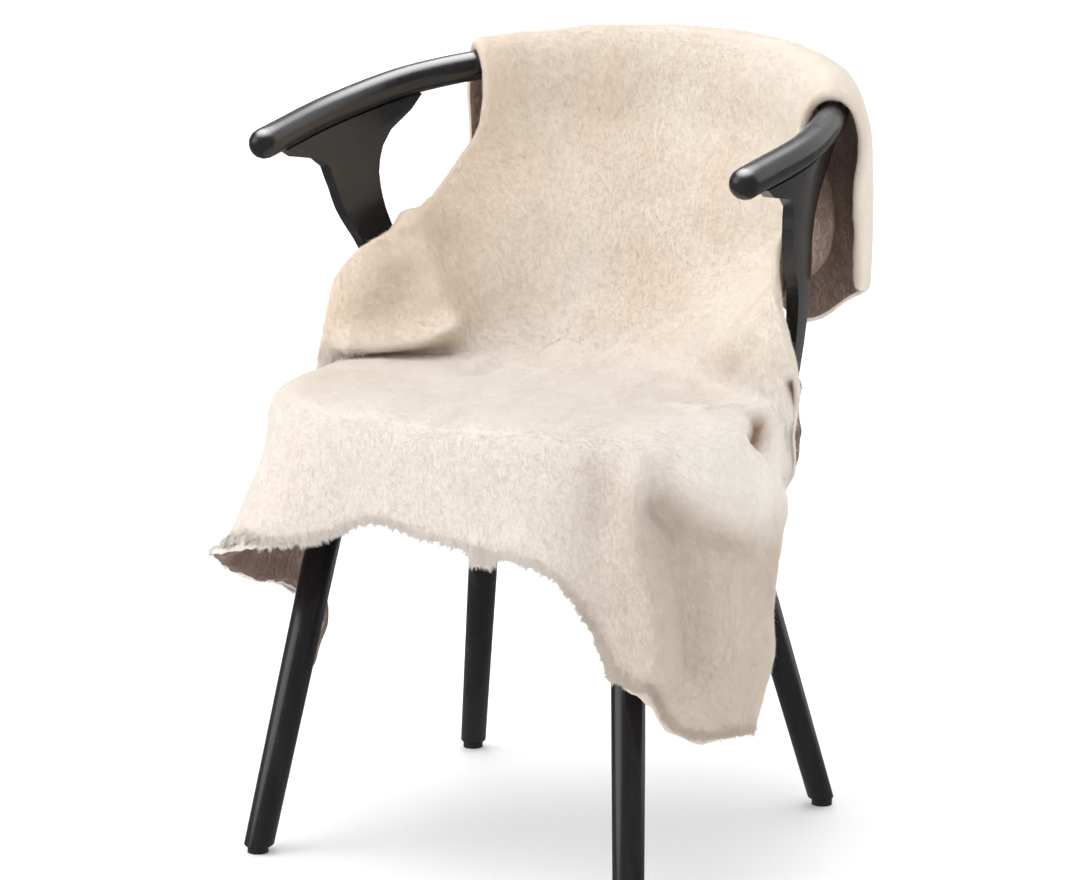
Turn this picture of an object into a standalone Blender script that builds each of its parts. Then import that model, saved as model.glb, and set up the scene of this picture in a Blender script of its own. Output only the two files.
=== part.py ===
"""A shorn sheepskin draped over a wooden armchair with a bent rail.

Metres, +Z up. The chair faces -Y and stands on the plane z = 0. The sizes below are given from
a point on the floor under the middle of the seat. The finished part's origin is on the floor
under the middle of everything, the skin's overhang included.
"""
import math
from collections import namedtuple

import bmesh
import bpy
import numpy as np
from mathutils import Vector

UP = np.array((0.0, 0.0, 1.0))
FIT_GAP = 0.0003
HEAD_GAP = 0.0005
PART_ORIGIN = Vector((0.0046, 0.0486, 0))

# The chair's driving sizes
SEAT_TOP = 0.443
SEAT_THICKNESS = 0.024
SEAT_HALF_WIDTH = 0.234
SEAT_FRONT = -0.213
SEAT_REAR = 0.211
SEAT_SQUARENESS = 3.1
SEAT_EDGE_ROUND = 0.008
SEAT_OUTLINE_POINTS = 72
RAIL_RADIUS = 0.0155
RAIL_POINTS = 64
RAIL_DOME_POINTS = 5
UPRIGHT_THICKNESS = 0.012
UPRIGHT_COLUMNS = 10
UPRIGHT_ROWS = 22
GLIDE_RADIUS = 0.0105
GLIDE_HEIGHT = 0.0065
LEG_SIDES = 28
FOOT_CHAMFER = 0.0015

# The rail's centreline, from the middle of the back round to the right arm's end
RAIL_STATIONS = np.array((
    (0.000, 0.299, 0.7555),
    (0.095, 0.281, 0.7530),
    (0.178, 0.229, 0.7435),
    (0.239, 0.151, 0.7300),
    (0.267, 0.045, 0.7110),
    (0.266, -0.092, 0.6905),
))

# The right-hand legs: the centre and radius at the foot and under the seat
Leg = namedtuple("Leg", "name foot_x foot_y foot_radius top_x top_y top_radius")
LEGS = (
    Leg("front", 0.2095, -0.2080, 0.0150, 0.1570, -0.1155, 0.0178),
    Leg("rear", 0.2095, 0.2130, 0.0133, 0.1260, 0.1145, 0.0172),
)

# An upright at each level: how much of the way from the rail down to the seat, how far it leans
# in from the rail there, and where its front and rear edges are along the rail
Level = namedtuple("Level", "share lean front rear")
SIDE_UPRIGHT = (
    Level(0.000, 0.000, 0.510, 0.290),
    Level(0.034, 0.002, 0.508, 0.294),
    Level(0.059, 0.004, 0.480, 0.318),
    Level(0.109, 0.007, 0.450, 0.343),
    Level(0.192, 0.011, 0.438, 0.360),
    Level(0.329, 0.016, 0.426, 0.362),
    Level(0.515, 0.021, 0.394, 0.345),
    Level(0.764, 0.029, 0.374, 0.328),
    Level(1.000, 0.039, 0.372, 0.316),
)
BACK_UPRIGHT = (
    Level(0.000, 0.000, 0.110, -0.110),
    Level(0.028, 0.003, 0.108, -0.108),
    Level(0.048, 0.005, 0.082, -0.082),
    Level(0.088, 0.009, 0.060, -0.060),
    Level(0.156, 0.017, 0.044, -0.044),
    Level(0.284, 0.030, 0.036, -0.036),
    Level(0.621, 0.067, 0.040, -0.040),
    Level(1.000, 0.107, 0.052, -0.052),
)

# The skin's driving sizes
SKIN_THICKNESS = 0.012
SKIN_CLEARANCE = 0.002
SKIN_OVER_SEAT = 0.0055
SETTLING_ROUNDS = 4
SOFTENING = 0.4
FIRST_SOFT_SECTION = 9
FOLD_SHARE = 0.3
FOLD_BLENDS = 5
SKIN_COLUMNS = 45
SKIN_STEP = 0.021
BEND_LENGTH = 0.050
PATH_STEPS = 120

# Sections that follow the rail: the ends' places along it, and at five places from the left
# edge to the right edge how far the hide lies inside and below the rail's centreline
RailSection = namedtuple("RailSection", "name left_end right_end inward drop")
# Sections across the seat, walked outwards from the middle line. Each side runs level but for
# its lean towards the front and its rise, then bends at the end of the run and falls
SeatSide = namedtuple("SeatSide", "lean run rise fall sweep length")
SeatSection = namedtuple("SeatSection", "name y z left right")
# Sections that follow the seat's rim: the ends' places along it, and from the left edge to
# the right edge how far the hide stands out from the rim and hangs below the seat's top
RimSection = namedtuple("RimSection", "name left_end right_end outward drop")


def clear_scene():
    for obj in list(bpy.data.objects):
        bpy.data.objects.remove(obj, do_unlink=True)


def smooth_course(values, knots, at):
    """A smooth curve through the values at their knots, read at the given places."""
    values = np.asarray(values, float)
    knots = np.asarray(knots, float)
    at = np.clip(np.asarray(at, float), knots[0], knots[-1])
    slopes = np.gradient(values, knots, axis=0)
    i = np.clip(np.searchsorted(knots, at, side="right") - 1, 0, len(knots) - 2)
    column = (-1,) + (1,) * (values.ndim - 1)
    gap = (knots[i + 1] - knots[i]).reshape(column)
    t = (at - knots[i]).reshape(column) / gap
    start = (2 * t**3 - 3 * t**2 + 1) * values[i] + (t**3 - 2 * t**2 + t) * gap * slopes[i]
    end = (3 * t**2 - 2 * t**3) * values[i + 1] + (t**3 - t**2) * gap * slopes[i + 1]
    return start + end


def lengths_along(points):
    """The length along a line of points up to each of them."""
    steps = np.linalg.norm(np.diff(points, axis=0), axis=1)
    return np.concatenate(([0.0], np.cumsum(steps)))


def smooth_step(x):
    x = np.clip(x, 0.0, 1.0)
    return x * x * (3 - 2 * x)


def level_normal(tangents, side):
    """Level unit vectors at right angles to the tangents."""
    normals = np.stack([-tangents[:, 1], tangents[:, 0], 0 * tangents[:, 0]], axis=1) * side
    return normals / np.linalg.norm(normals, axis=1)[:, None]


RAIL_LINE = np.vstack([RAIL_STATIONS[:0:-1] * (-1, 1, 1), RAIL_STATIONS])
RAIL_PLACES = lengths_along(RAIL_LINE) - lengths_along(RAIL_STATIONS)[-1]
RAIL_END = RAIL_PLACES[-1]


def rail_point(place):
    """Points on the rail's centreline at lengths along it, 0 at the back and positive to the right."""
    beyond = np.asarray(place) - np.clip(place, -RAIL_END, RAIL_END)
    run_on = np.where(beyond[:, None] < 0, RAIL_LINE[1] - RAIL_LINE[0], RAIL_LINE[-1] - RAIL_LINE[-2])
    run_on = run_on / np.linalg.norm(run_on, axis=1)[:, None]
    return smooth_course(RAIL_LINE, RAIL_PLACES, place) + run_on * beyond[:, None]


def rail_outward(place):
    small = 0.002
    return level_normal(rail_point(place + small) - rail_point(place - small), 1)


def seat_outline(count):
    """The seat's outline from the rear middle round the left side, the front and the right side."""
    turn = np.linspace(-math.pi, math.pi, count)
    power = 2 / SEAT_SQUARENESS
    depth = (SEAT_REAR - SEAT_FRONT) / 2
    x = SEAT_HALF_WIDTH * np.sign(np.sin(turn)) * abs(np.sin(turn)) ** power
    y = SEAT_FRONT + depth - depth * np.sign(np.cos(turn)) * abs(np.cos(turn)) ** power
    return np.stack([x, y, np.full(count, SEAT_TOP)], axis=1)


RIM_LINE = seat_outline(1441)
RIM_PLACES = lengths_along(RIM_LINE) - lengths_along(RIM_LINE)[-1] / 2


def rim_point(place):
    """Points on the seat's rim at lengths along it, 0 at the front and positive to the right."""
    return np.stack([np.interp(place, RIM_PLACES, RIM_LINE[:, k]) for k in range(3)], axis=1)


def rim_outward(place):
    spread = 0.03
    return level_normal(rim_point(place + spread) - rim_point(place - spread), -1)


def across(values, u):
    """A value's smooth course over the skin's width, from the left edge at -1 to the right at 1."""
    return smooth_course(values, np.linspace(-1, 1, len(values)), u)


def rail_section(row, u):
    place = np.where(u < 0, -u * row.left_end, u * row.right_end)
    inward = rail_outward(place) * across(row.inward, u)[:, None]
    return rail_point(place) - inward - UP * across(row.drop, u)[:, None]


def rim_section(row, u):
    place = np.where(u < 0, -u * row.left_end, u * row.right_end)
    outward = rim_outward(place) * across(row.outward, u)[:, None]
    return rim_point(place) + outward - UP * across(row.drop, u)[:, None]


def side_walk(side, towards, share):
    """The way from the middle line to a share of the side's length, turning as the skin bends."""
    walked = (np.arange(PATH_STEPS) + 0.5) / PATH_STEPS * side.length
    bent = smooth_step((walked - side.run + BEND_LENGTH / 2) / BEND_LENGTH)
    leaning = smooth_step(walked / (side.run * 0.5)) * (1 - bent)
    rising = smooth_step((walked - side.run * 0.45) / (side.run * 0.4)) * (1 - bent)
    pitch = np.radians(side.rise) * rising - np.radians(side.fall) * bent
    yaw = np.radians(side.lean) * leaning + np.radians(side.sweep) * bent
    heading = np.stack([towards * np.cos(pitch) * np.cos(yaw), np.cos(pitch) * np.sin(yaw), np.sin(pitch)], 1)
    path = np.vstack([np.zeros(3), np.cumsum(heading * side.length / PATH_STEPS, axis=0)])
    shares = np.linspace(0, 1, PATH_STEPS + 1)
    return np.stack([np.interp(share, shares, path[:, k]) for k in range(3)], axis=1)


def seat_section(row, u):
    middle = np.array((0.0, row.y, row.z))
    left = side_walk(row.left, -1, np.abs(u))
    right = side_walk(row.right, 1, np.abs(u))
    return middle + np.where(u[:, None] < 0, left, right)


def over_the_rail(angle, left_end, right_end):
    """The section on top of the rail at an angle from its outer side, looser towards the right."""
    radius = RAIL_RADIUS + SKIN_CLEARANCE + np.array((0.0, 0.0, 0.001, 0.002, 0.003))
    turn = math.radians(angle)
    return RailSection(f"rail {angle}", left_end, right_end, -radius * math.cos(turn), -radius * math.sin(turn))


SKIN_SECTIONS = (
    RailSection("rear hem", -0.215, 0.275,
                (-.035, -.040, -.045, -.040, -.050, -.052, -.022), (.19, .25, .20, .17, .275, .225, .185)),
    RailSection("rear flap", -0.222, 0.315,
                (-.030, -.032, -.034, -.032, -.030, -.032, -.036, -.038, -.016), (.10, .12, .09, .14, .085)),
    over_the_rail(0, -0.227, 0.330),
    over_the_rail(45, -0.227, 0.332),
    over_the_rail(90, -0.227, 0.334),
    over_the_rail(135, -0.227, 0.336),
    over_the_rail(180, -0.227, 0.338),
    RailSection("drape top", -0.228, 0.345,
                (.022, .024, .028, .022, .018), (.050, .060, .060, .060, .050)),
    RailSection("drape upper", -0.268, 0.365,
                (.034, .043, .050, .058, .062, .054, .034, .012, .028), (.093, .120, .130, .120, .090)),
    RailSection("drape lower", -0.370, 0.374,
                (.057, .076, .090, .096, .096, .086, .056, .023, .040), (.123, .170, .200, .190, .130)),
    SeatSection("crease top", 0.174, 0.500,
                SeatSide(-46, 0.283, 34, 0, 0, 0.316), SeatSide(-47, 0.289, 22, 30, 30, 0.326)),
    SeatSection("crease roll", 0.125, 0.464,
                SeatSide(-34, 0.274, 30, 50, 0, 0.318), SeatSide(-31, 0.270, 14, 60, 10, 0.322)),
    SeatSection("crease", 0.087, 0.453,
                SeatSide(-19, 0.264, 4, 60, 0, 0.312), SeatSide(-21, 0.264, 3, 78, 10, 0.325)),
    SeatSection("seat rear", 0.052, 0.450,
                SeatSide(-14, 0.262, 3, 84, 30, 0.37), SeatSide(-16, 0.260, 0, 84, 10, 0.325)),
    SeatSection("seat middle", -0.015, 0.449,
                SeatSide(-2, 0.254, 2, 84, 50, 0.575), SeatSide(-6, 0.254, 0, 82, 20, 0.33)),
    SeatSection("seat front", -0.110, 0.449,
                SeatSide(0, 0.238, 0, 82, 60, 0.46), SeatSide(0, 0.242, 0, 64, 50, 0.38)),
    RimSection("front edge", -0.280, 0.330,
               (.040, .030, .004, -.022, .000, .018, .042), (.205, .060, -.003, -.006, -.003, .040, .190)),
    RimSection("front shoulder", -0.258, 0.318,
               (.052, .040, .014, .007, .012, .026, .050), (.190, .080, .018, .010, .018, .080, .210)),
    RimSection("skirt", -0.228, 0.298,
               (.072, .054, .020, .012, .016, .032, .056), (.166, .104, .060, .048, .060, .130, .240)),
    RimSection("hem", -0.192, 0.275,
               (.088, .050, .026, .018, .016, .018, .028, .056, .066),
               (.143, .121, .104, .086, .096, .105, .124, .258, .275)),
)
SECTION_MAKERS = {RailSection: rail_section, SeatSection: seat_section, RimSection: rim_section}


def push_off_seat(points):
    """How far to move each point straight away from the seat's rounded edge or top to clear it."""
    nearest = np.array([np.argmin(np.hypot(*(RIM_LINE[:, :2] - point[:2]).T)) for point in points])
    outward = rim_outward(RIM_PLACES[nearest])
    beyond = np.sum((points - RIM_LINE[nearest]) * outward, axis=1)
    above = points[:, 2] - SEAT_TOP
    out = np.maximum(beyond + SEAT_EDGE_ROUND, 0)
    up = np.maximum(above + SEAT_EDGE_ROUND, 0)
    inside = (out == 0) & (up == 0)
    out = np.where(inside & (beyond > above), 0.001, out)
    up = np.where(inside & (beyond <= above), 0.001, up)
    distance = np.hypot(out, up)
    needed = SEAT_EDGE_ROUND + SKIN_OVER_SEAT
    near = (distance < needed) & (above > -SEAT_THICKNESS - SKIN_OVER_SEAT)
    push = np.where(near, needed / distance - 1, 0)
    return outward * (out * push)[:, None] + UP * (up * push)[:, None]


def keep_off_seat(grid):
    """The grid with its points, and the middles of its quads and their sides, clear of the seat."""
    for rows, columns in ((0, 0), (1, 0), (0, 1), (1, 1)):
        last_row, last_column = len(grid) - rows, len(grid[0]) - columns
        corners = [np.s_[r:last_row + r, c:last_column + c] for r in range(rows + 1) for c in range(columns + 1)]
        middles = sum(grid[corner] for corner in corners) / len(corners)
        push = push_off_seat(middles.reshape(-1, 3)).reshape(middles.shape)
        moves = [np.zeros_like(grid) for corner in corners]
        for move, corner in zip(moves, corners):
            move[corner] = push
        grid = grid + largest_move(moves)
    return grid


def around(grid):
    """The mean of each point's four neighbours in the grid, its edges repeated outwards."""
    padded = np.pad(grid, ((1, 1), (1, 1), (0, 0)), mode="edge")
    return (padded[:-2, 1:-1] + padded[2:, 1:-1] + padded[1:-1, :-2] + padded[1:-1, 2:]) / 4


def soften(grid, first_row):
    """The grid with each inner point after a row moved part of the way to its neighbours' mean."""
    softened = grid.copy()
    inner = np.s_[first_row:-1, 1:-1]
    softened[inner] += (around(grid)[inner] - grid[inner]) * SOFTENING
    return softened


def largest_move(moves):
    """At each point, the longest of several moves."""
    stack = np.array(moves)
    longest = np.argmax(np.linalg.norm(stack, axis=-1), axis=0)
    return np.take_along_axis(stack, longest[None, ..., None], axis=0)[0]


def skin_grid():
    """The hide's leather side as a grid of points, from the rear hem to the front hem."""
    u = np.linspace(-1, 1, SKIN_COLUMNS)
    sections = np.array([SECTION_MAKERS[type(row)](row, u) for row in SKIN_SECTIONS])
    knots = lengths_along(sections[:, SKIN_COLUMNS // 2])
    stations = [0.0]
    for start, end in zip(knots[:-1], knots[1:]):
        steps = max(1, round((end - start) / SKIN_STEP))
        stations.extend(start + (end - start) * (k + 1) / steps for k in range(steps))
    grid = smooth_course(sections, knots, np.array(stations))
    first_soft = np.searchsorted(stations, knots[FIRST_SOFT_SECTION])
    for _ in range(SETTLING_ROUNDS):
        grid = keep_off_seat(soften(grid, first_soft))
    return grid


def wool_grid(leather):
    """The wool's surface: the skin's thickness out from the leather, and less inside tight folds."""
    steps = np.gradient(leather, axis=0), np.gradient(leather, axis=1)
    normals = np.cross(*steps)
    normals /= np.linalg.norm(normals, axis=2)[..., None]
    for _ in range(FOLD_BLENDS):
        normals += around(normals)
        normals /= np.linalg.norm(normals, axis=2)[..., None]
    closing = np.full(leather.shape[:2], 1 / SKIN_THICKNESS * FOLD_SHARE)
    for axis, step in enumerate(steps):
        turning = np.gradient(normals, axis=axis)
        closing = np.maximum(closing, -np.sum(turning * step, axis=2) / np.sum(step * step, axis=2))
    depth = FOLD_SHARE / closing
    for _ in range(FOLD_BLENDS):
        depth = np.minimum(depth, around(depth[..., None])[..., 0])
    return leather + normals * depth[..., None]


def material(name, colour, roughness):
    made = bpy.data.materials.new(name)
    made.use_nodes = True
    shader = made.node_tree.nodes["Principled BSDF"]
    shader.inputs["Base Color"].default_value = (*colour, 1)
    shader.inputs["Roughness"].default_value = roughness
    return made


def add_object(name, data, finish, collection):
    obj = bpy.data.objects.new(name, data)
    data.materials.append(finish)
    collection.objects.link(obj)
    return obj


def panel_mesh(name, outer, inner):
    """A closed panel between an outer and an inner grid of points, joined round their edges."""
    bm = bmesh.new()
    sheets = [[[bm.verts.new(point) for point in row] for row in grid] for grid in (outer, inner)]
    for sheet in sheets:
        for upper, lower in zip(sheet, sheet[1:]):
            for k in range(len(upper) - 1):
                bm.faces.new((upper[k], lower[k], lower[k + 1], upper[k + 1]))
    rims = []
    for sheet in sheets:
        right_edge = [row[-1] for row in sheet[1:-1]]
        left_edge = [row[0] for row in sheet[1:-1]]
        rims.append(sheet[0] + right_edge + sheet[-1][::-1] + left_edge[::-1])
    for k in range(len(rims[0])):
        bm.faces.new((rims[0][k - 1], rims[0][k], rims[1][k], rims[1][k - 1]))
    bmesh.ops.recalc_face_normals(bm, faces=bm.faces)
    mesh = bpy.data.meshes.new(name)
    bm.to_mesh(mesh)
    bm.free()
    mesh.shade_smooth()
    mesh.set_sharp_from_angle(angle=math.radians(40))
    return mesh


def make_skin(finish, collection):
    leather = skin_grid()
    skin = add_object("sheepskin", panel_mesh("sheepskin", wool_grid(leather), leather), finish, collection)
    skin.data.set_sharp_from_angle(angle=math.radians(75))


def make_rail(finish, collection):
    """The bent rail, with a dome at each end whose rings shrink along a quarter circle."""
    turns = np.linspace(0, math.pi / 2, RAIL_DOME_POINTS + 2)[:-1]
    dome_places = RAIL_END + RAIL_RADIUS * np.sin(turns)
    places = np.concatenate([-dome_places[::-1], np.linspace(-RAIL_END, RAIL_END, RAIL_POINTS)[1:-1], dome_places])
    radii = np.concatenate([np.cos(turns)[::-1], np.ones(RAIL_POINTS - 2), np.cos(turns)])
    curve = bpy.data.curves.new("rail", "CURVE")
    curve.dimensions = "3D"
    curve.bevel_depth = RAIL_RADIUS
    curve.bevel_resolution = 6
    curve.use_fill_caps = True
    curve.render_resolution_u = 0
    spline = curve.splines.new("POLY")
    spline.points.add(len(places) - 1)
    for point, centre, radius in zip(spline.points, rail_point(places), radii):
        point.co = (*centre, 1)
        point.radius = radius
    add_object("rail", curve, finish, collection)


def make_upright(name, levels, side, finish, collection):
    """A curved panel that narrows under the rail and stands on the seat."""
    shares = np.linspace(0, 1, UPRIGHT_ROWS)
    course = smooth_course([level[1:] for level in levels], [level.share for level in levels], shares)
    outer, inner = [], []
    for share, (lean, front, rear) in zip(shares, course):
        place = np.linspace(rear, front, UPRIGHT_COLUMNS)
        outward = rail_outward(place)
        points = rail_point(place) - outward * lean
        head = points[:, 2] - RAIL_RADIUS - HEAD_GAP
        points[:, 2] = head + (SEAT_TOP + FIT_GAP - head) * share
        outer.append((points + outward * UPRIGHT_THICKNESS / 2) * (side, 1, 1))
        inner.append((points - outward * UPRIGHT_THICKNESS / 2) * (side, 1, 1))
    add_object(name, panel_mesh(name, outer, inner), finish, collection)


def make_seat(finish, collection):
    outline = seat_outline(SEAT_OUTLINE_POINTS + 1)[:-1]
    bm = bmesh.new()
    rim = [bm.verts.new((x, y, z - SEAT_THICKNESS)) for x, y, z in outline]
    base = bm.faces.new(rim)
    raised = bmesh.ops.extrude_face_region(bm, geom=[base])
    top = [item for item in raised["geom"] if isinstance(item, bmesh.types.BMVert)]
    bmesh.ops.translate(bm, verts=top, vec=(0, 0, SEAT_THICKNESS))
    bmesh.ops.recalc_face_normals(bm, faces=bm.faces)
    mesh = bpy.data.meshes.new("seat")
    bm.to_mesh(mesh)
    bm.free()
    seat = add_object("seat", mesh, finish, collection)
    bevel = seat.modifiers.new("Rounded edges", "BEVEL")
    bevel.width = SEAT_EDGE_ROUND
    bevel.segments = 3
    bevel.limit_method = "ANGLE"


def make_leg(leg, side_name, side, wood, glide_finish, collection):
    """A tapered leg, cut level at both ends, on a round glide."""
    foot = Vector((side * leg.foot_x, leg.foot_y, 0))
    top = Vector((side * leg.top_x, leg.top_y, SEAT_TOP - SEAT_THICKNESS - FIT_GAP))
    low = GLIDE_HEIGHT + FIT_GAP
    bm = bmesh.new()
    rings = ((low, -FOOT_CHAMFER), (low + FOOT_CHAMFER, 0), (top.z, 0))
    levels = []
    for height, grow in rings:
        share = height / top.z
        centre = foot.lerp(top, share)
        radius = leg.foot_radius + (leg.top_radius - leg.foot_radius) * share + grow
        turns = [2 * math.pi * k / LEG_SIDES for k in range(LEG_SIDES)]
        levels.append([bm.verts.new((centre.x + radius * math.cos(t), centre.y + radius * math.sin(t), height))
                       for t in turns])
    for lower, upper in zip(levels, levels[1:]):
        for k in range(LEG_SIDES):
            bm.faces.new((lower[k], lower[(k + 1) % LEG_SIDES], upper[(k + 1) % LEG_SIDES], upper[k]))
    bm.faces.new(levels[0][::-1])
    bm.faces.new(levels[-1])
    name = f"leg_{leg.name}_{side_name}"
    mesh = bpy.data.meshes.new(name)
    bm.to_mesh(mesh)
    bm.free()
    mesh.shade_smooth()
    mesh.set_sharp_from_angle(angle=math.radians(30))
    add_object(name, mesh, wood, collection)
    make_glide(f"glide_{leg.name}_{side_name}", foot.lerp(top, GLIDE_HEIGHT / 2 / top.z), glide_finish, collection)


def make_glide(name, centre, finish, collection):
    bm = bmesh.new()
    bmesh.ops.create_cone(bm, cap_ends=True, segments=LEG_SIDES, radius1=GLIDE_RADIUS,
                          radius2=GLIDE_RADIUS, depth=GLIDE_HEIGHT)
    mesh = bpy.data.meshes.new(name)
    bm.to_mesh(mesh)
    bm.free()
    glide = add_object(name, mesh, finish, collection)
    glide.location = (centre.x, centre.y, GLIDE_HEIGHT / 2)


def main():
    clear_scene()
    collection = bpy.data.collections.new("Sheepskin on armchair")
    bpy.context.scene.collection.children.link(collection)
    wool = material("Shorn wool", (0.80, 0.70, 0.58), 0.95)
    wood = material("Black stained wood", (0.018, 0.017, 0.018), 0.38)
    rubber = material("Black glide", (0.02, 0.02, 0.02), 0.6)
    make_seat(wood, collection)
    make_rail(wood, collection)
    for side_name, side in (("left", -1), ("right", 1)):
        make_upright(f"upright_{side_name}", SIDE_UPRIGHT, side, wood, collection)
        for leg in LEGS:
            make_leg(leg, side_name, side, wood, rubber, collection)
    make_upright("upright_back", BACK_UPRIGHT, 1, wood, collection)
    make_skin(wool, collection)
    for obj in collection.objects:
        obj.location -= PART_ORIGIN


main()
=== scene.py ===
"""The looks of a shorn sheepskin on a black wooden armchair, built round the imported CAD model."""
import math
from collections import namedtuple

import bmesh
import bpy
import numpy as np
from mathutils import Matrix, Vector, kdtree, noise


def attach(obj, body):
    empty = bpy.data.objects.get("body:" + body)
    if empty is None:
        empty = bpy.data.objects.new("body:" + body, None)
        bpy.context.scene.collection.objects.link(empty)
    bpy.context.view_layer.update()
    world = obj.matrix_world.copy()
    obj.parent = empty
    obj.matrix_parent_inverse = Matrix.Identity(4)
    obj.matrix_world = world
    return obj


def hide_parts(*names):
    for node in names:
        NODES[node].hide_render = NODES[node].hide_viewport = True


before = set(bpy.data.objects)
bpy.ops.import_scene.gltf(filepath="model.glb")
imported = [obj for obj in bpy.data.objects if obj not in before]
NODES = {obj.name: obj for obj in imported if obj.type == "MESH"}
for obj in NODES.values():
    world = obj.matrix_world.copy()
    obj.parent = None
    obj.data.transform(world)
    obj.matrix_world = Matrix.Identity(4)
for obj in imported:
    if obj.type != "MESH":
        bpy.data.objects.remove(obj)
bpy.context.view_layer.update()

# The camera: where it stands and looks, in metres, and its lens in millimetres
CAMERA_PLACE = Vector((1.9342, -3.4629, 1.2598))
CAMERA_TARGET = Vector((0.0165, -0.0941, 0.4126))
CAMERA_LENS = 135.2

# The white studio: how bright it shines, and how bright its backdrop looks
WORLD_STRENGTH = 0.70
BACKDROP_STRENGTH = 1.1
FLOOR_GLOW = 0.13

# How the studio shows in shiny things: the way to its bright ceiling, how near that way the
# ceiling starts and is full, as cosines, and how bright the ceiling and the walls are
CEILING_WAY = (-0.15, 0.15, 0.97)
CEILING_STARTS = 0.72
CEILING_FULL = 1.0
CEILING_SHINE = 16.0
WALL_SHINE = 0.26

# The soft lights: where they stand, in metres, their strength and the width of their disc in degrees
Light = namedtuple("Light", "place strength spread")
LIGHTS = {
    "Overhead": Light((-0.3, -0.4, 1.5), 1.5, 55),
    "Side": Light((-2.4, -2.0, 1.4), 0.95, 45),
    "Back": Light((1.0, 2.0, 1.2), 0.7, 60),
}

# How far the floor reaches each way
FLOOR_REACH = 8

# The wool's colours: its patches, its streaks and what it turns to in places, among them painted light
# and painted shade
CREAM = (0.765, 0.685, 0.585)
LIGHT_CREAM = (0.81, 0.738, 0.65)
PINKISH = (0.74, 0.625, 0.515, 1)
TAN = (0.80, 0.655, 0.515, 1)
# Pale: the seat's wool, and painted light along the edge
PALE = (0.73, 0.675, 0.625, 1)
# Painted light: the right shoulder made nearly white
PAINTED_LIGHT_WHITE = (0.86, 0.82, 0.78, 1)
# Partly painted shade: the right flank's greyer wool, darkened further for the shade on it
SHADED = (0.56, 0.48, 0.40, 1)
# Painted shade: the brown in the bottoms of the dark folds
PAINTED_FOLD_SHADE = (0.36, 0.23, 0.145, 1)
# Painted shade among the blades' roots
PAINTED_SHADE_AT_ROOTS = (0.93, 0.90, 0.87, 1)

# The leather side's colours, and the painted shade its wrinkles take off them
DARK_TAUPE = (0.22, 0.142, 0.108)
TAUPE = (0.36, 0.255, 0.205)
WRINKLE_SHADE = (0.70, 0.67, 0.65, 1)

# The wood's colours in and between its grain, and the slightly uneven ones of glides and floor
WOOD_DARK = (0.007, 0.007, 0.0085)
WOOD_LIGHT = (0.015, 0.0145, 0.016)
GLIDE_DARK = (0.010, 0.010, 0.010)
GLIDE_LIGHT = (0.018, 0.018, 0.018)
FLOOR_DARK = (0.86, 0.86, 0.86)
FLOOR_LIGHT = (0.88, 0.88, 0.88)

# The sockets of a Map Range node, in the order in which its numbers are given here
RANGE_SOCKETS = ("From Min", "From Max", "To Min", "To Max")

# How near corners are to be one corner, and how far two triangles bend to be one quad
SKIN_WELD = 1e-5
WOOD_WELD = 1e-6
QUAD_BEND = math.radians(50)
QUAD_SKEW = math.radians(70)

# The bend from which an edge of the wood stays sharp
WOOD_SHARP = math.radians(35)

# The skin's sides, as marks on its faces, the bend that parts them, and how often its faces are
# halved each way to round them
WOOL, RIM, LEATHER = 0, 1, 2
RIM_ANGLE = math.radians(55)
SUBDIVISIONS = 2

# A patch in the middle of the seat, where the wool is above and the leather below: its middle
# and its half size
SEAT_PATCH_X, SEAT_PATCH_Y = 0.0, -0.06
SEAT_PATCH_WIDE, SEAT_PATCH_DEEP = 0.1, 0.06

# The skin's thickness, and how much of a fold's depth the wool takes up before the hide moves too
SKIN_THICKNESS = 0.012
SKIN_GIVES = 0.006

# How deep in the wool the blades start, the way they lie, the ranges of their length and width as
# shares of their kind's, and of their tone, 1 being the wool's own, and the share of it at the root,
# lower there as painted shade
PILE_ROOT = 0.002
PILE_LAY = np.array((0.0, 0.6, -1.0))
BLADE_LENGTHS = (0.6, 1.1)
BLADE_WIDTHS = (0.6, 1.2)
BLADE_SHADES = (0.25, 1.0)
ROOT_SHADE = 0.4

# The band along the edge that goes with its ragged line, and where the painted light that makes the
# wool beside it paler starts to fade and ends
EDGE_BAND = 0.014
PALE_FADES = 0.006
PALE_ENDS = 0.030

# Along the edge the blades turn outwards: where that starts to fade, how much they still rise with
# the wool, and how alike the wool must face there, as cosines, for a blade to belong to the edge
TURN_FADES = 0.004
EDGE_RISE = 0.25
OTHER_LAYER = 0.2
SAME_LAYER = 0.6

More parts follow.
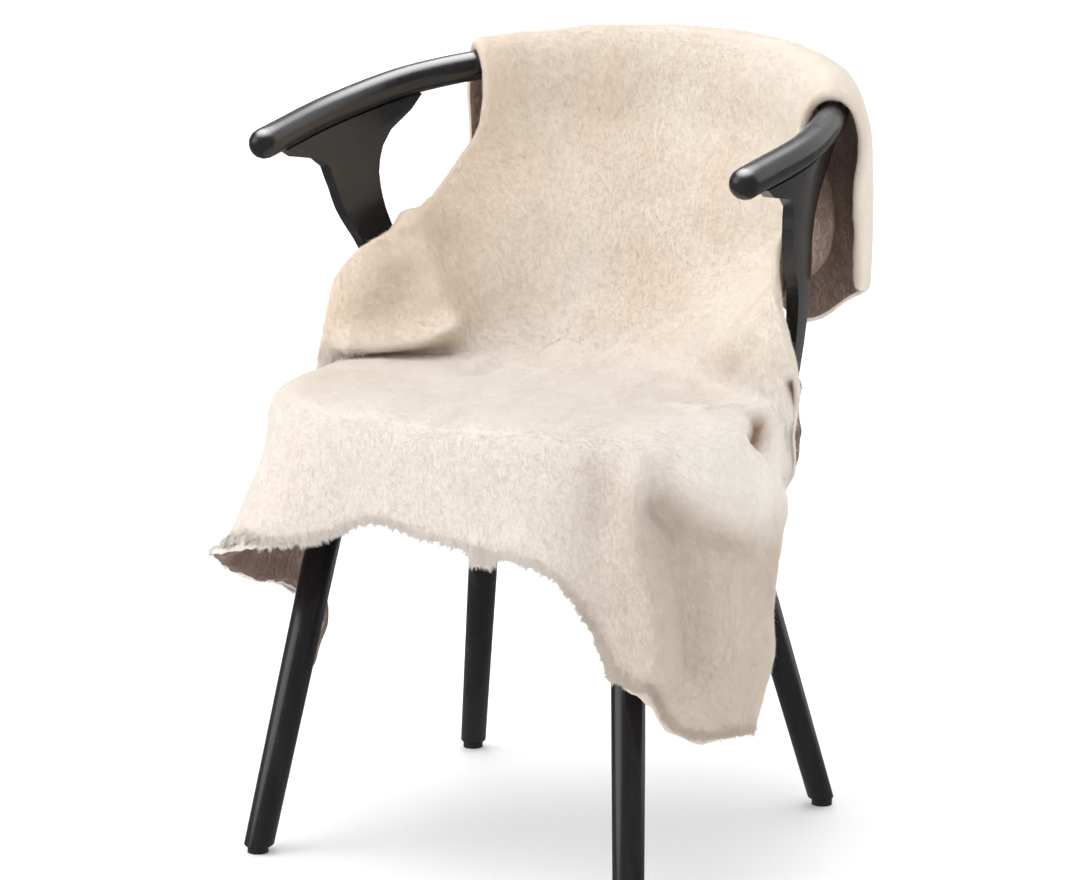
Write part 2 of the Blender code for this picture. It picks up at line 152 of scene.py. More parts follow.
# Folds pressed into the wool: their height, or depth where it is negative, half width and
# the height over the floor where they fade out, with the points of their line, all in metres
Fold = namedtuple("Fold", "height width foot line")
FOLDS = {
    "pocket lip": Fold(0.025, 0.017, 0.464, ((-0.235, -0.034, 0.476), (-0.207, -0.020, 0.477),
                                             (-0.174, 0.000, 0.478), (-0.150, 0.014, 0.484))),
    "pocket ridge": Fold(0.012, 0.016, 0.464, ((-0.199, 0.020, 0.592), (-0.183, 0.019, 0.562),
                                               (-0.170, 0.021, 0.535), (-0.153, 0.024, 0.500))),
    "pocket valley": Fold(-0.010, 0.022, 0.464, ((-0.168, 0.049, 0.575), (-0.152, 0.047, 0.538),
                                                 (-0.135, 0.042, 0.496))),
    "pocket dimple": Fold(-0.009, 0.022, 0.0, ((-0.191, -0.009, 0.535), (-0.196, -0.010, 0.520))),
    "seat valley": Fold(-0.004, 0.013, 0.0, ((-0.084, -0.040, 0.461), (-0.084, 0.000, 0.462))),
    "corner ridge": Fold(0.015, 0.014, 0.0, ((0.199, -0.238, 0.418), (0.201, -0.242, 0.401),
                                             (0.203, -0.249, 0.361), (0.217, -0.245, 0.321),
                                             (0.229, -0.251, 0.247))),
    "front valley": Fold(-0.005, 0.018, 0.0, ((0.178, -0.256, 0.410), (0.176, -0.270, 0.350),
                                              (0.185, -0.274, 0.300))),
    "corner valley": Fold(-0.018, 0.020, 0.0, ((0.214, -0.225, 0.415), (0.231, -0.214, 0.378),
                                               (0.244, -0.211, 0.326), (0.258, -0.215, 0.250))),
    "side ridge": Fold(0.008, 0.020, 0.0, ((0.262, -0.159, 0.349), (0.261, -0.174, 0.321),
                                           (0.267, -0.189, 0.266))),
    "corner roll": Fold(0.017, 0.034, 0.0, ((0.210, -0.224, 0.431), (0.232, -0.203, 0.412),
                                            (0.246, -0.184, 0.399), (0.264, -0.150, 0.386))),
    "under the roll": Fold(-0.012, 0.013, 0.0, ((0.216, -0.228, 0.396), (0.236, -0.204, 0.376),
                                                (0.264, -0.153, 0.352))),
    "side trim": Fold(-0.010, 0.024, 0.0, ((0.269, -0.038, 0.428), (0.270, -0.050, 0.402))),
    "side fill": Fold(0.006, 0.016, 0.0, ((0.275, -0.078, 0.380), (0.279, -0.090, 0.370))),
    "side dimple": Fold(-0.018, 0.011, 0.0, ((0.246, -0.066, 0.453), (0.255, -0.081, 0.446),
                                             (0.258, -0.095, 0.440))),
    "side slit": Fold(-0.014, 0.005, 0.0, ((0.260, -0.035, 0.481), (0.267, -0.034, 0.464),
                                           (0.272, -0.033, 0.450))),
    "seat hollow": Fold(-0.006, 0.009, 0.0, ((0.170, -0.076, 0.461), (0.187, -0.078, 0.461),
                                             (0.193, -0.062, 0.461))),
    "hollow's lip": Fold(0.004, 0.008, 0.0, ((0.161, -0.093, 0.461), (0.197, -0.103, 0.462),
                                             (0.210, -0.064, 0.461))),
    "pocket crease": Fold(0.0, 0.010, 0.0, ((-0.240, -0.045, 0.464), (-0.207, -0.030, 0.464),
                                            (-0.174, -0.010, 0.464), (-0.150, 0.004, 0.466))),
    "back bulge": Fold(0.006, 0.030, 0.0, ((-0.075, 0.108, 0.522), (-0.025, 0.102, 0.500))),
    "right fold": Fold(-0.003, 0.012, 0.0, ((0.185, -0.012, 0.484), (0.214, -0.033, 0.516),
                                            (0.226, -0.023, 0.540))),
    "right cross fold": Fold(-0.0025, 0.012, 0.0, ((0.197, -0.021, 0.517), (0.232, -0.037, 0.504),
                                                  (0.254, -0.036, 0.486))),
}

# How far over its foot a fold fades in, how wide a fold is that needs finer faces, and how far
# from its line they reach, in widths
FOLD_FADE = 0.010
NARROW_FOLD = 0.010
FINE_WIDTHS = 2.2

# Unevenness: how high and how large its lumps are, in metres, its layers and its seed. A tuft's
# height is a share of the blades' length
Lumps = namedtuple("Lumps", "height size layers seed")
WOOL_LUMPS = (Lumps(0.0020, 0.050, 2, 0.0), Lumps(0.0006, 0.016, 2, 3.0))
EDGE_LUMPS = (Lumps(0.0028, 0.014, 2, 7.0), Lumps(0.0016, 0.005, 1, 11.0))
TUFTS = (Lumps(0.7, 0.0045, 1, 5.0),)

# The pile, piece by piece: how many blades, how closely they keep to the edge, how far they point
# out of it there, their length and width in metres, how far they lean with the wool and how far
# each goes its own way
Pile = namedtuple("Pile", "count closeness out length width lean own_way")
PILE = {
    "wool_pile_1": Pile(190000, 0, 0.5, 0.0054, 0.0008, 3.0, 0.16),
    "wool_pile_2": Pile(190000, 0, 0.5, 0.0054, 0.0008, 3.0, 0.16),
    "wool_pile_3": Pile(90000, 0, 0.5, 0.0070, 0.0004, 1.6, 0.35),
    "edge_fuzz": Pile(70000, 10, 1.0, 0.0085, 0.0008, 1.0, 0.25),
}

# The folds whose bottoms get a brown painted shade, and how brown
PAINTED_SHADE_FOLDS = {"side dimple": 1.0, "side slit": 1.0, "pocket crease": 0.4}

# Along the edge the wool stands out past the hide, and both sides come closer together
WOOL_OVER = 0.002
HIDE_SHORT = 0.007
WOOL_THINNER = 0.0010
HIDE_THINNER = 0.0065

# Pulls that bring the skin's outline to the photo's: at the back of the left side, at the slit, along
# the front hem and its lobe, and at the drape's edge by the right upright
Pull = namedtuple("Pull", "middle reach move")
PULLS = (
    Pull((-0.274, -0.100, 0.185), 0.050, (0.027, 0.014, 0.014)),
    Pull((0.276, -0.030, 0.438), 0.028, (-0.005, 0.004, 0.0)),
    Pull((0.190, -0.278, 0.256), 0.016, (0.0, 0.0, -0.020)),
    Pull((0.232, -0.262, 0.212), 0.018, (0.0, 0.0, 0.022)),
    Pull((0.058, -0.290, 0.341), 0.008, (0.0, 0.0, -0.016)),
    Pull((0.072, -0.289, 0.343), 0.005, (0.0, 0.0, -0.012)),
    Pull((0.222, 0.105, 0.672), 0.026, (0.010, 0.007, 0.0)),
    Pull((0.222, 0.102, 0.643), 0.026, (0.009, 0.006, 0.0)),
    Pull((0.221, 0.098, 0.614), 0.026, (0.009, 0.006, 0.0)),
    Pull((0.218, 0.088, 0.585), 0.026, (0.009, 0.006, 0.0)),
    Pull((0.215, 0.078, 0.556), 0.026, (0.011, 0.007, 0.0)),
    Pull((0.208, 0.066, 0.525), 0.026, (0.013, 0.008, -0.004)),
    Pull((0.262, -0.236, 0.176), 0.010, (0.0, 0.0, -0.004)),
)

rng = np.random.default_rng(5)


def make_camera():
    """The photo's camera."""
    data = bpy.data.cameras.new("Camera")
    data.lens = CAMERA_LENS
    data.sensor_width = 36
    data.clip_end = 50
    camera = bpy.data.objects.new("Camera", data)
    bpy.context.scene.collection.objects.link(camera)
    camera.location = CAMERA_PLACE
    camera.rotation_euler = (CAMERA_TARGET - CAMERA_PLACE).to_track_quat("-Z", "Y").to_euler()
    bpy.context.scene.camera = camera


def sun_light(name, place, strength, spread):
    """A soft light of even strength, from place towards the middle, its disc spread degrees wide."""
    data = bpy.data.lights.new(name, "SUN")
    data.energy = strength
    data.angle = math.radians(spread)
    light = bpy.data.objects.new(name, data)
    bpy.context.scene.collection.objects.link(light)
    light.location = place
    light.rotation_euler = (-Vector(place)).to_track_quat("-Z", "Y").to_euler()


def make_world():
    """A plain white studio whose reflections fall off from its bright ceiling to its walls."""
    world = bpy.data.worlds.new("Studio")
    bpy.context.scene.world = world
    world.use_nodes = True
    background = world.node_tree.nodes["Background"]
    background.inputs["Color"].default_value = (1, 1, 1, 1)
    tree = world.node_tree
    way = tree.nodes.new("ShaderNodeVectorMath")
    way.operation = "DOT_PRODUCT"
    way.inputs[1].default_value = Vector(CEILING_WAY).normalized()
    tree.links.new(tree.nodes.new("ShaderNodeTexCoord").outputs["Generated"], way.inputs[0])
    path = tree.nodes.new("ShaderNodeLightPath").outputs
    shine = (way.outputs["Value"], CEILING_STARTS, CEILING_FULL, WALL_SHINE, CEILING_SHINE)
    glossy = (path["Is Glossy Ray"], 0, 1, WORLD_STRENGTH, None)
    seen = (path["Is Camera Ray"], 0, 1, None, BACKDROP_STRENGTH)
    steps = []
    for value, *numbers in (shine, glossy, seen):
        step = tree.nodes.new("ShaderNodeMapRange")
        tree.links.new(value, step.inputs["Value"])
        for key, number in zip(RANGE_SOCKETS, numbers):
            if number is None:
                tree.links.new(steps[-1].outputs["Result"], step.inputs[key])
            else:
                step.inputs[key].default_value = number
        steps.append(step)
    tree.links.new(steps[-1].outputs["Result"], background.inputs["Strength"])
    world.cycles.sampling_method = "NONE"


class Nodes:
    """Short calls for building a material's node tree."""

    def __init__(self, name):
        self.material = bpy.data.materials.new(name)
        self.material.use_nodes = True
        self.tree = self.material.node_tree
        self.shader = self.tree.nodes["Principled BSDF"]
        self.place = self.add("ShaderNodeTexCoord").outputs["Object"]

    def add(self, kind, **settings):
        node = self.tree.nodes.new(kind)
        for key, value in settings.items():
            setattr(node, key, value)
        return node

    def feed(self, socket, value):
        if isinstance(value, bpy.types.NodeSocket):
            self.tree.links.new(value, socket)
        else:
            socket.default_value = value

    def stretched(self, scale, turn=(0, 0, 0)):
        mapping = self.add("ShaderNodeMapping")
        self.feed(mapping.inputs["Vector"], self.place)
        mapping.inputs["Scale"].default_value = scale
        mapping.inputs["Rotation"].default_value = [math.radians(a) for a in turn]
        return mapping.outputs["Vector"]

    def noise(self, scale, detail=2.0, roughness=0.5, distortion=0.0, vector=None):
        node = self.add("ShaderNodeTexNoise")
        self.feed(node.inputs["Vector"], self.place if vector is None else vector)
        node.inputs["Scale"].default_value = scale
        node.inputs["Detail"].default_value = detail
        node.inputs["Roughness"].default_value = roughness
        node.inputs["Distortion"].default_value = distortion
        return node.outputs["Fac"]

    def ramp(self, value, *stops):
        node = self.add("ShaderNodeValToRGB")
        self.feed(node.inputs["Fac"], value)
        elements = node.color_ramp.elements
        while len(elements) < len(stops):
            elements.new(0.5)
        for element, (position, colour) in zip(elements, stops):
            element.position = position
            element.color = (*colour, 1)
        return node.outputs["Color"]

    def level(self, value, low, high, to_low=0.0, to_high=1.0):
        node = self.add("ShaderNodeMapRange")
        self.feed(node.inputs["Value"], value)
        for key, number in zip(RANGE_SOCKETS, (low, high, to_low, to_high)):
            node.inputs[key].default_value = number
        return node.outputs["Result"]

    def math(self, operation, a, b):
        node = self.add("ShaderNodeMath", operation=operation)
        self.feed(node.inputs[0], a)
        self.feed(node.inputs[1], b)
        return node.outputs[0]

    def mix(self, share, a, b, blend="MIX"):
        node = self.add("ShaderNodeMix", data_type="RGBA", blend_type=blend)
        self.feed(node.inputs["Factor"], share)
        self.feed(node.inputs[6], a)
        self.feed(node.inputs[7], b)
        return node.outputs[2]

    def bump(self, height, strength, distance, under=None):
        node = self.add("ShaderNodeBump")
        self.feed(node.inputs["Height"], height)
        node.inputs["Strength"].default_value = strength
        node.inputs["Distance"].default_value = distance
        if under is not None:
            self.feed(node.inputs["Normal"], under)
        return node.outputs["Normal"]

    def attribute(self, name):
        return self.add("ShaderNodeAttribute", attribute_name=name).outputs["Fac"]

    def finish(self, colour, roughness, normal=None, **plain):
        self.feed(self.shader.inputs["Base Color"], colour)
        self.feed(self.shader.inputs["Roughness"], roughness)
        if normal is not None:
            self.feed(self.shader.inputs["Normal"], normal)
        for key, value in plain.items():
            self.shader.inputs[key.replace("_", " ")].default_value = value
        return self.material


def wool_colour(m):
    """Cream wool in soft patches with pinkish streaks, tan at the left, paler on the seat, paler along
    the edge as painted light, with painted light on the right shoulder, darker on the right flank from
    its greyer wool and painted shade, and brown painted shade in the dark folds.
    Its places are in metres, x to the right of the middle and z over the floor."""
    patches = m.noise(8, 3, 0.55)
    streaks = m.noise(9, 2, 0.5, 0.4, m.stretched((1, 1, 0.16)))
    cream = m.ramp(patches, (0.32, CREAM), (0.68, LIGHT_CREAM))
    warm = m.mix(m.level(streaks, 0.48, 0.70, 0.0, 0.7), cream, PINKISH)
    separate = m.add("ShaderNodeSeparateXYZ")
    m.feed(separate.inputs[0], m.place)
    x, z = separate.outputs["X"], separate.outputs["Z"]
    seat = m.level(m.math("ADD", z, m.level(patches, 0, 1, -0.02, 0.02)), 0.50, 0.46)
    # The wool is paler on the seat, and along the cut edge as painted light
    pale = m.math("MAXIMUM", m.math("MULTIPLY", seat, 0.75), m.attribute("edge"))
    left = m.mix(m.level(x, -0.05, -0.20, 0.0, 0.6), warm, TAN)
    light = m.mix(pale, left, PALE)
    slant = m.math("ADD", z, m.math("MULTIPLY", x, 0.8))
    # The right flank is darker, partly for its greyer wool and partly as painted shade
    flank = m.math("MULTIPLY", m.level(x, 0.12, 0.22), m.level(slant, 0.60, 0.565))
    # Painted light: the right shoulder, above the corner's curve, made nearly white
    shoulder = m.math("MULTIPLY", m.level(x, 0.18, 0.24), m.level(slant, 0.595, 0.62))
    lighter = m.mix(m.math("MULTIPLY", shoulder, pale), light, PAINTED_LIGHT_WHITE)
    darker = m.mix(m.math("MULTIPLY", flank, 0.8), lighter, SHADED)
    # Painted shade: the bottoms of the dark folds turn brown
    return m.mix(m.attribute("deep"), darker, PAINTED_FOLD_SHADE)


def wool_material():
    """The wool's body under the pile: matt and soft, with fine fibres and clumps."""
    m = Nodes("Shorn wool")
    colour = wool_colour(m)
    fibres = m.noise(900, 2, 0.6)
    clumps = m.noise(160, 2, 0.5)
    normal = m.bump(fibres, 0.25, 0.0008, m.bump(clumps, 0.15, 0.002))
    return m.finish(colour, 1.0, normal, Sheen_Weight=0.4, Sheen_Roughness=0.5, Specular_IOR_Level=0.1)


def pile_material():
    """The wool's blades, in the colour of the wool below them and a little darker at the root, as
    painted shade.
    """
    m = Nodes("Wool pile")
    colour = wool_colour(m)
    # Painted shade at the blades' roots
    dark = m.mix(1.0, colour, PAINTED_SHADE_AT_ROOTS, "MULTIPLY")
    shaded = m.mix(m.attribute("shade"), dark, colour)
    return m.finish(shaded, 1.0, None, Sheen_Weight=0.3, Sheen_Roughness=0.5, Specular_IOR_Level=0.05)


def leather_material():
    """The bare side of the hide: mottled taupe with fine wrinkles, painted darker along their lines as
    shade.
    """
    m = Nodes("Sueded leather side")
    patches = m.noise(16, 3, 0.6)
    base = m.ramp(patches, (0.30, DARK_TAUPE), (0.72, TAUPE))
    wrinkles = m.noise(140, 4, 0.62, 0.9, m.stretched((1, 1, 0.5), (20, 30, 0)))
    lines = m.level(m.math("ABSOLUTE", m.math("SUBTRACT", wrinkles, 0.5), 0.0), 0.0, 0.06)
    # Painted shade along the wrinkle lines
    colour = m.mix(lines, m.mix(1.0, base, WRINKLE_SHADE, "MULTIPLY"), base)
    normal = m.bump(lines, 0.7, 0.0014, m.bump(m.noise(900, 2), 0.3, 0.0006))
    return m.finish(colour, 0.8, normal, Sheen_Weight=0.04, Specular_IOR_Level=0.25)


def wood_material():
    """Black stain under satin lacquer, with a faint upright grain."""
    m = Nodes("Black stained wood")
    grain = m.noise(60, 4, 0.6, 0.5, m.stretched((1, 1, 0.06)))
    colour = m.ramp(grain, (0.35, WOOD_DARK), (0.70, WOOD_LIGHT))
    normal = m.bump(grain, 0.06, 0.0005)
    return m.finish(colour, m.level(grain, 0.3, 0.7, 0.22, 0.28), normal, Specular_IOR_Level=0.5)


def glide_material():
    """The plain black of a moulded glide."""
    m = Nodes("Black moulded glide")
    colour = m.ramp(m.noise(500, 2), (0.3, GLIDE_DARK), (0.7, GLIDE_LIGHT))
    return m.finish(colour, 0.55, m.bump(m.noise(1500, 2), 0.2, 0.0003))


def floor_material():
    """A pale floor that glows a little, so that it is nearly as bright as the backdrop."""
    m = Nodes("Pale floor")
    colour = m.ramp(m.noise(3, 2), (0.3, FLOOR_DARK), (0.7, FLOOR_LIGHT))
    return m.finish(colour, 0.6, None, Emission_Color=(1, 1, 1, 1), Emission_Strength=FLOOR_GLOW)


def smooth_groups(bm):
    """The faces in groups, each joined across edges that bend less than the skin's rim does."""
    groups = []
    seen = set()
    for seed in bm.faces:
        if seed in seen:
            continue
        group, waiting = [], [seed]
        seen.add(seed)
        while waiting:
            face = waiting.pop()
            group.append(face)
            for edge in face.edges:
                if edge.calc_face_angle(math.pi) > RIM_ANGLE:
                    continue
                for other in edge.link_faces:
                    if other not in seen:
                        seen.add(other)
                        waiting.append(other)
        groups.append(group)
    return groups


def height_over_seat(group):
    """How high the group's faces lie, on average, in the middle of the seat."""
    centres = [face.calc_center_median() for face in group]
    over = [c.z for c in centres
            if abs(c.x - SEAT_PATCH_X) < SEAT_PATCH_WIDE and abs(c.y - SEAT_PATCH_Y) < SEAT_PATCH_DEEP]
    return sum(over) / max(1, len(over))


def skin_base():
    """The CAD skin as a mesh of welded quads whose faces are marked wool, rim or leather."""
    bm = bmesh.new()
    bm.from_mesh(NODES["sheepskin"].data)
    bmesh.ops.remove_doubles(bm, verts=bm.verts, dist=SKIN_WELD)
    bmesh.ops.recalc_face_normals(bm, faces=bm.faces)
    bmesh.ops.join_triangles(bm, faces=bm.faces, angle_face_threshold=QUAD_BEND,
                             angle_shape_threshold=QUAD_SKEW)
    for face in bm.faces:
        face.material_index = RIM
    two_largest = sorted(smooth_groups(bm), key=len)[-2:]
    wool, leather = sorted(two_largest, key=height_over_seat, reverse=True)
    for group, mark in ((wool, WOOL), (leather, LEATHER)):
        for face in group:
            face.material_index = mark
    mesh = bpy.data.meshes.new("skin")
    bm.to_mesh(mesh)
    bm.free()
    return mesh


def applied(obj):
    """A new mesh with the object's modifiers applied."""
    bpy.context.view_layer.update()
    evaluated = obj.evaluated_get(bpy.context.evaluated_depsgraph_get())
    return bpy.data.meshes.new_from_object(evaluated)


def add_piece(name, mesh, *materials):
    """A new object in the scene with this mesh and these materials."""
    obj = bpy.data.objects.new(name, mesh)
    bpy.context.scene.collection.objects.link(obj)
    for material in materials:
        mesh.materials.append(material)
    return obj


def wooden_piece(name, node, material):
    """A piece in place of a wooden CAD node: the same form, smooth over its rounded faces."""
    bm = bmesh.new()
    bm.from_mesh(node.data)
    bmesh.ops.remove_doubles(bm, verts=bm.verts, dist=WOOD_WELD)
    mesh = bpy.data.meshes.new(name + "_wood")
    bm.to_mesh(mesh)
    bm.free()
    mesh.transform(node.matrix_world)
    mesh.shade_smooth()
    mesh.set_sharp_from_angle(angle=WOOD_SHARP)
    piece = add_piece(name + "_wood", mesh, material)
    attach(piece, "root")
    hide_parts(name)


def coordinates(mesh):
    flat = np.empty(len(mesh.vertices) * 3, np.float32)
    mesh.vertices.foreach_get("co", flat)
    return flat.reshape(-1, 3).astype(float)


def vertex_normals(mesh):
    flat = np.empty(len(mesh.vertices) * 3, np.float32)
    mesh.vertex_normals.foreach_get("vector", flat)
    return flat.reshape(-1, 3).astype(float)


def set_coordinates(mesh, points):
    mesh.vertices.foreach_set("co", points.astype(np.float32).ravel())
    mesh.update()


def field(points, size, layers, seed):
    """Smooth noise of about -1 to 1 at each point, its lumps about size across."""
    offset = Vector((seed, seed * 1.7, seed * 0.6))
    return np.array([noise.fractal(Vector(p) / size + offset, 1.0, 2.0, layers) for p in points])


def unevenness(points, kinds):
    """The height of these kinds of lumps at each point."""
    return sum(kind.height * field(points, kind.size, kind.layers, kind.seed) for kind in kinds)


def side_of_vertices(mesh, mark):
    """Which vertices touch only faces with this mark."""
    inside = np.ones(len(mesh.vertices), bool)
    for face in mesh.polygons:
        if face.material_index != mark:
            inside[list(face.vertices)] = False
    return inside


def distance_to_line(points, line):
    """How far each point is from a line of straight stretches."""
    nearest = np.full(len(points), np.inf)
    for start, end in zip(line[:-1], line[1:]):
        start, stretch = np.array(start), np.subtract(end, start)
        share = np.clip((points - start) @ stretch / (stretch @ stretch), 0, 1)
        nearest = np.minimum(nearest, np.linalg.norm(points - start - share[:, None] * stretch, axis=1))
    return nearest


def fold_shade_share(points):
    """How much brown painted shade each point takes in the dark folds, from 0 to 1."""
    deep = np.zeros(len(points))
    for name, brown in PAINTED_SHADE_FOLDS.items():
        share = distance_to_line(points, FOLDS[name].line) / FOLDS[name].width
        deep = np.maximum(deep, brown * np.exp(-share ** 2))
    return deep


def add_values(mesh, name, values):
    attribute = mesh.attributes.new(name, "FLOAT", "POINT")
    attribute.data.foreach_set("value", values.astype(np.float32))


def read_values(mesh, name):
    values = np.empty(len(mesh.vertices), np.float32)
    mesh.attributes[name].data.foreach_get("value", values)
    return values


def smooth_step(values, low, high):
    share = np.clip((values - low) / (high - low), 0, 1)
    return share * share * (3 - 2 * share)


def tree_of(places):
    tree = kdtree.KDTree(len(places))
    for k, place in enumerate(places):
        tree.insert(place, k)
    tree.balance()
    return tree


def find(tree, points):
    """The number of the nearest of the tree's places for each point, and its distance."""
    found = [tree.find(p)[1:] for p in points]
    return np.array([f[0] for f in found]), np.array([f[1] for f in found])


class Rim:
    """The middle of the hide's cut edge: its places, the way out of the skin and its wool's there."""

    def __init__(self, mesh):
        middle = np.flatnonzero(side_of_vertices(mesh, RIM))
        self.places = coordinates(mesh)[middle]
        self.outward = vertex_normals(mesh)[middle]
        self.tree = tree_of(self.places)
        woolly = np.flatnonzero(side_of_vertices(mesh, WOOL))
        inside = self.places - self.outward * EDGE_BAND
        beside = find(tree_of(coordinates(mesh)[woolly]), inside)[0]
        self.wool_side = vertex_normals(mesh)[woolly][beside]
        tilt = (self.outward * self.wool_side).sum(axis=1)[:, None]
        self.outward = unit(self.outward - self.wool_side * tilt)


def refine(mesh):
    """Finer faces along the narrow folds."""
    bm = bmesh.new()
    bm.from_mesh(mesh)
    points = np.array([v.co for v in bm.verts])
    close = np.zeros(len(points), bool)
    for fold in FOLDS.values():
        if fold.width < NARROW_FOLD:
            close |= distance_to_line(points, fold.line) < FINE_WIDTHS * fold.width
    bm.verts.ensure_lookup_table()
    edges = [e for e in bm.edges if close[e.verts[0].index] and close[e.verts[1].index]]
    bmesh.ops.subdivide_edges(bm, edges=edges, cuts=1, use_grid_fill=True)
    bm.to_mesh(mesh)
    bm.free()


def make_body(wool, leather):
    """The skin under its pile, with its folds and ragged edge, and the middle of that edge."""
    base = add_piece("skin_base", skin_base(), wool, wool, leather)
    smooth = base.modifiers.new("Smooth", "SUBSURF")
    smooth.levels = smooth.render_levels = SUBDIVISIONS
    mesh = applied(base)
    bpy.data.objects.remove(base)
    refine(mesh)
    body = add_piece("sheepskin_body", mesh)
    points = coordinates(mesh)
    normals = vertex_normals(mesh)
    leathery = side_of_vertices(mesh, LEATHER)
    outside = points - normals * (SKIN_THICKNESS * leathery)[:, None]
    push = np.zeros(len(points))
    for fold in FOLDS.values():
        share = np.exp(-(distance_to_line(outside, fold.line) / fold.width) ** 2)
        push += fold.height * share * smooth_step(outside[:, 2], fold.foot, fold.foot + FOLD_FADE)
    push[leathery] = -np.minimum(push[leathery] + SKIN_GIVES, 0)
    moved = points + normals * (push + unevenness(points, WOOL_LUMPS))[:, None]
    rim = Rim(mesh)
    number, distance = find(rim.tree, points)
    ragged = unevenness(rim.places, EDGE_LUMPS)
    band = 1 - smooth_step(distance, 0.0, EDGE_BAND)
    side = (points - rim.places[number]) * rim.wool_side[number]
    woolly = np.clip(0.5 + side.sum(axis=1) / SKIN_THICKNESS, 0, 1)
    overhang = WOOL_OVER * woolly - HIDE_SHORT * (1 - woolly)
    thinner = HIDE_THINNER * (1 - woolly) - WOOL_THINNER * woolly
    moved += rim.outward[number] * ((ragged[number] + overhang) * band)[:, None]
    moved += rim.wool_side[number] * (thinner * band)[:, None]
    for pull in PULLS:
        share = np.exp(-(np.linalg.norm(points - pull.middle, axis=1) / pull.reach) ** 2)
        moved += share[:, None] * np.array(pull.move)
    set_coordinates(mesh, moved)
    # The share of brown painted shade in the dark folds
    add_values(mesh, "deep", fold_shade_share(outside))
    # The edge share: painted light along the cut edge, and where the edge fuzz gathers
    add_values(mesh, "edge", 1 - smooth_step(distance, PALE_FADES, PALE_ENDS))
    mesh.shade_smooth()
    return body, Rim(mesh)


def marked_triangles(mesh):
    """The corner numbers of the mesh's triangles, and the mark of each."""
    mesh.calc_loop_triangles()
    count = len(mesh.loop_triangles)
    corners = np.empty(count * 3, np.int32)
    mesh.loop_triangles.foreach_get("vertices", corners)
    faces = np.empty(count, np.int32)
    mesh.loop_triangles.foreach_get("polygon_index", faces)
    marks = np.empty(len(mesh.polygons), np.int32)
    mesh.polygons.foreach_get("material_index", marks)
    return corners.reshape(-1, 3), marks[faces]


def scatter(mesh, kind):
    """Seeded places on the wool for this kind of pile, with its normals and shades there."""
    points = coordinates(mesh)
    normals = vertex_normals(mesh)
    corners, marks = marked_triangles(mesh)
    corners = corners[marks == WOOL]
    a, b, c = (points[corners[:, k]] for k in range(3))
    areas = np.linalg.norm(np.cross(b - a, c - a), axis=1)
    areas *= read_values(mesh, "edge")[corners].mean(axis=1) ** kind.closeness
    count = kind.count
    chosen = rng.choice(len(corners), count, p=areas / areas.sum())
    r1, r2 = np.sqrt(rng.random(count)), rng.random(count)
    weights = np.stack([1 - r1, r1 * (1 - r2), r1 * r2], axis=1)[..., None]
    places = (points[corners[chosen]] * weights).sum(axis=1)
    outward = (normals[corners[chosen]] * weights).sum(axis=1)
    shares = {}
    for name in ("edge", "deep"):
        shares[name] = (read_values(mesh, name)[corners[chosen]] * weights[..., 0]).sum(axis=1)
    return places, unit(outward), shares


def unit(vectors):
    return vectors / np.maximum(np.linalg.norm(vectors, axis=1), 1e-9)[:, None]


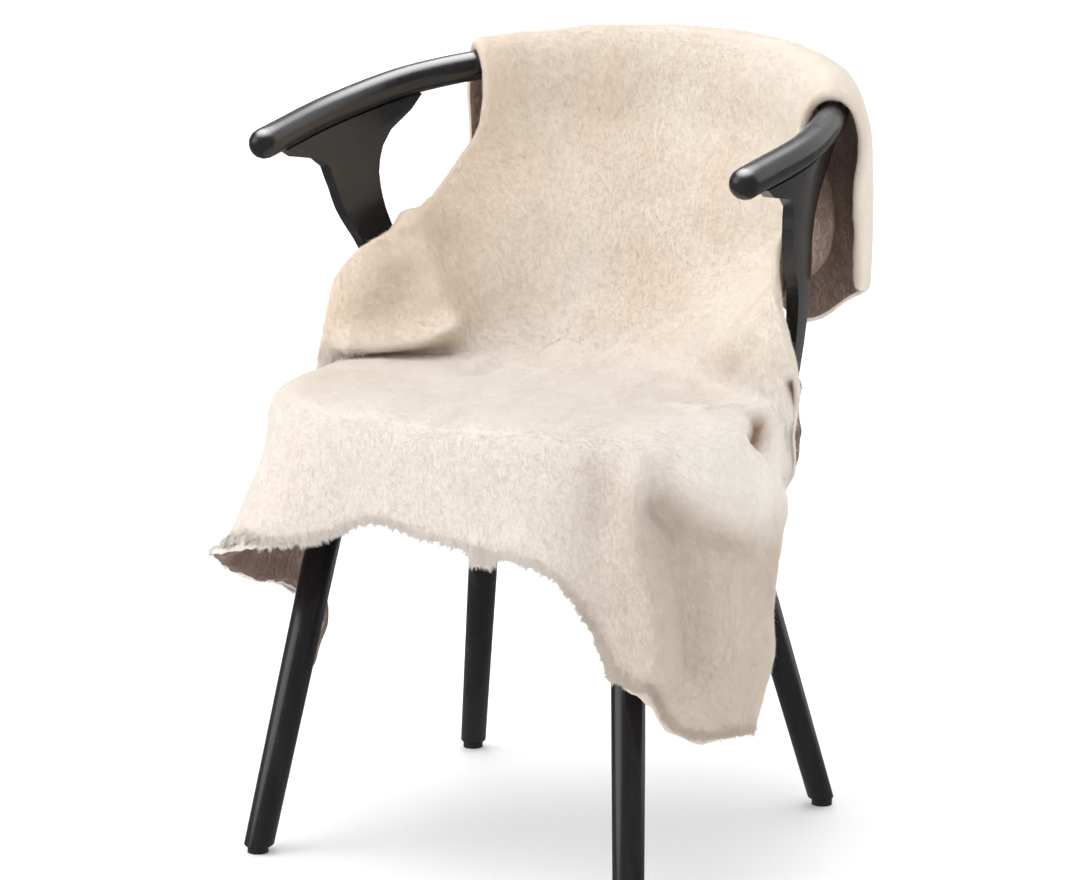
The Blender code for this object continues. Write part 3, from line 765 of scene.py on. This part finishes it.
def blades(name, kind, places, normals, shares, rim, material):
    """A blade of wool at each place: one long triangle that lies with the pile."""
    count = kind.count
    number, distance = find(rim.tree, places)
    alike = (normals * rim.wool_side[number]).sum(axis=1)
    same_layer = smooth_step(alike, OTHER_LAYER, SAME_LAYER)
    near = ((1 - smooth_step(distance, TURN_FADES, EDGE_BAND)) * same_layer)[:, None]
    turn = kind.out * near
    lit = unit(normals * (1 - near) + rim.wool_side[number] * near)
    lay = unit(PILE_LAY - normals * (normals @ PILE_LAY)[:, None])
    inner = unit(normals + lay * kind.lean)
    edge_way = unit(rim.outward[number] + rim.wool_side[number] * EDGE_RISE)
    astray = unit(rng.normal(size=(count, 3))) * kind.own_way
    direction = unit(inner * (1 - turn) + edge_way * turn + astray)
    across = unit(np.cross(direction, lit))
    tufts = 1 + unevenness(places, TUFTS) * (kind.closeness > 0)
    lengths = (kind.length * tufts * rng.uniform(*BLADE_LENGTHS, count))[:, None]
    roots = places - direction * PILE_ROOT
    tips = roots + direction * lengths
    half = across * kind.width * rng.uniform(*BLADE_WIDTHS, count)[:, None] / 2
    points = np.stack([roots - half, roots + half, tips], axis=1).reshape(-1, 3)
    mesh = bpy.data.meshes.new(name)
    mesh.vertices.add(count * 3)
    mesh.vertices.foreach_set("co", points.astype(np.float32).ravel())
    mesh.loops.add(count * 3)
    mesh.loops.foreach_set("vertex_index", np.arange(count * 3, dtype=np.int32))
    mesh.polygons.add(count)
    mesh.polygons.foreach_set("loop_start", np.arange(0, count * 3, 3, dtype=np.int32))
    mesh.update(calc_edges=True)
    mesh.validate()
    mesh.shade_smooth()
    mesh.normals_split_custom_set_from_vertices(np.repeat(lit, 3, axis=0).tolist())
    own = rng.uniform(*BLADE_SHADES, count)
    # The root keeps only a share of the blade's tone, as painted shade
    root = own * ROOT_SHADE
    add_values(mesh, "shade", np.stack([root, root, own], axis=1).ravel())
    for share_name, values in shares.items():
        add_values(mesh, share_name, np.repeat(values, 3))
    return add_piece(name, mesh, material)


make_camera()

# The pieces: the glides keep their CAD nodes, the rest stand in place of theirs or on the skin
wool, pile, leather = wool_material(), pile_material(), leather_material()
wood, glide = wood_material(), glide_material()
for name, node in NODES.items():
    if name.startswith("glide"):
        node.data.materials.clear()
        node.data.materials.append(glide)
    elif name != "sheepskin":
        wooden_piece(name, node, wood)

body, rim = make_body(wool, leather)
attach(body, "root")
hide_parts("sheepskin")
for name, kind in PILE.items():
    places, normals, shares = scatter(body.data, kind)
    piece = blades(name, kind, places, normals, shares, rim, pile)
    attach(piece, "root")

# The studio
floor_mesh = bpy.data.meshes.new("floor")
corners = [(x * FLOOR_REACH, y * FLOOR_REACH, 0) for x, y in ((-1, -1), (1, -1), (1, 1), (-1, 1))]
floor_mesh.from_pydata(corners, [], [(0, 1, 2, 3)])
floor = add_piece("floor", floor_mesh, floor_material())
floor.visible_glossy = False

bpy.context.scene.view_settings.view_transform = "Standard"
make_world()
for name, light in LIGHTS.items():
    sun_light(name, light.place, light.strength, light.spread)
